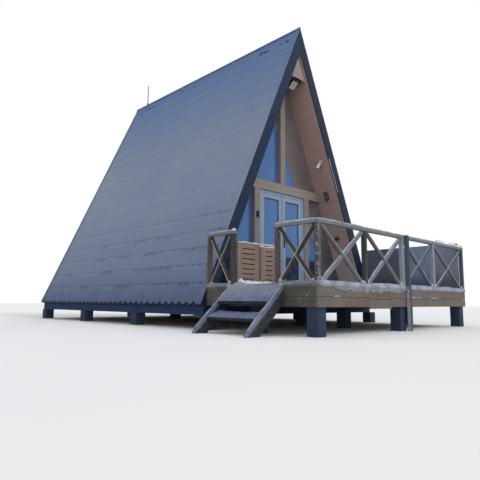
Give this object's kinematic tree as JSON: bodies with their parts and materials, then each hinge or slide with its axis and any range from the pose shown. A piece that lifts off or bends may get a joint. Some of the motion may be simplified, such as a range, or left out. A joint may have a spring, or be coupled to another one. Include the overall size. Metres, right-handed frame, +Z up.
{
  "type": "a-frame cabin with a railed deck",
  "caption": "Timber A-frame cabin with steep tiled metal roof, glazed front with double door, railed front deck on piers and side stair.",
  "frame": {"origin": "on the ground, on the cabin's centre line, under the front edge of its roof: the middle of the foot of the middle front pier", "axes": "+X to the right seen from the front, +Y from the front to the rear along the ridge, +Z up"},
  "size_m": [5.7935, 8.5785, 6.7787],
  "materials": {
    "roof_metal": "matt coated steel under frost",
    "verge_metal": "matt coated steel",
    "panel_wood": "sawn",
    "soffit_wood": "planed boards, oiled",
    "front_wood": "planed, oiled",
    "base_wood": "rough sawn, tarred",
    "deck_wood": "weathered boards",
    "fascia_wood": "weathered boards",
    "rail_wood": "rough sawn, stained",
    "slat_wood": "planed",
    "pier_block": "cast concrete with a dark coating",
    "white_frame": "satin",
    "glass": "clear",
    "black_metal": "satin",
    "lamp_white": "satin",
    "steel": "satin",
    "screen_sheet": "matt"
  },
  "bodies": {
    "root": {"cabin_piers": "pier_block", "side_beams": "base_wood", "cross_beams": "base_wood", "floor_panel": "panel_wood", "cabin_floor": "soffit_wood", "roof_panel_left": "panel_wood", "roof_panel_right": "panel_wood", "roof_sheet_left": "roof_metal", "roof_sheet_right": "roof_metal", "lining_left": "soffit_wood", "lining_right": "soffit_wood", "ridge_cap": "roof_metal", "front_verge_left": "verge_metal", "front_verge_right": "verge_metal", "rear_verge_left": "verge_metal", "rear_verge_right": "verge_metal", "front_posts": "front_wood", "front_beam": "front_wood", "king_post": "front_wood", "front_sills": "front_wood", "upper_lights": "glass", "side_lights": "glass", "door_frame": "white_frame", "door_hinges": "steel", "tie_board": "front_wood", "gable_panel": "front_wood", "floodlight": "black_metal", "soffit_lamp": "lamp_white", "lantern": "black_metal", "switch_box": "black_metal", "key_box": "black_metal", "rear_wall": "front_wood", "rear_window": "white_frame", "rear_glass": "glass", "deck_piers": "pier_block", "deck_bearers": "base_wood", "deck_joists": "deck_wood", "deck_fascia_front": "fascia_wood", "deck_fascia_sides": "fascia_wood", "deck_floor": "deck_wood", "rail_posts": "rail_wood", "handrail_front": "rail_wood", "handrail_sides": "rail_wood", "braces_front": "rail_wood", "braces_sides": "rail_wood", "wind_screen": "screen_sheet", "slat_screens": "slat_wood", "stair_stringers": "rail_wood", "stair_treads": "rail_wood", "support_pole": "rail_wood", "ridge_mast": "black_metal"},
    "leaf_left": {"door_leaf_left": "white_frame", "door_glass_left": "glass"},
    "leaf_right": {"door_leaf_right": "white_frame", "door_glass_right": "glass", "door_handle": "black_metal"}
  },
  "joints": [
    {"name": "door_left", "type": "hinge", "parent": "root", "child": "leaf_left", "pos_m": [-0.6425, 0.599, 1.7], "axis": [0, 0, 1], "range_deg": [0, 95]},
    {"name": "door_right", "type": "hinge", "parent": "root", "child": "leaf_right", "pos_m": [0.6425, 0.599, 1.7], "axis": [0, 0, -1], "range_deg": [0, 95]}
  ]
}
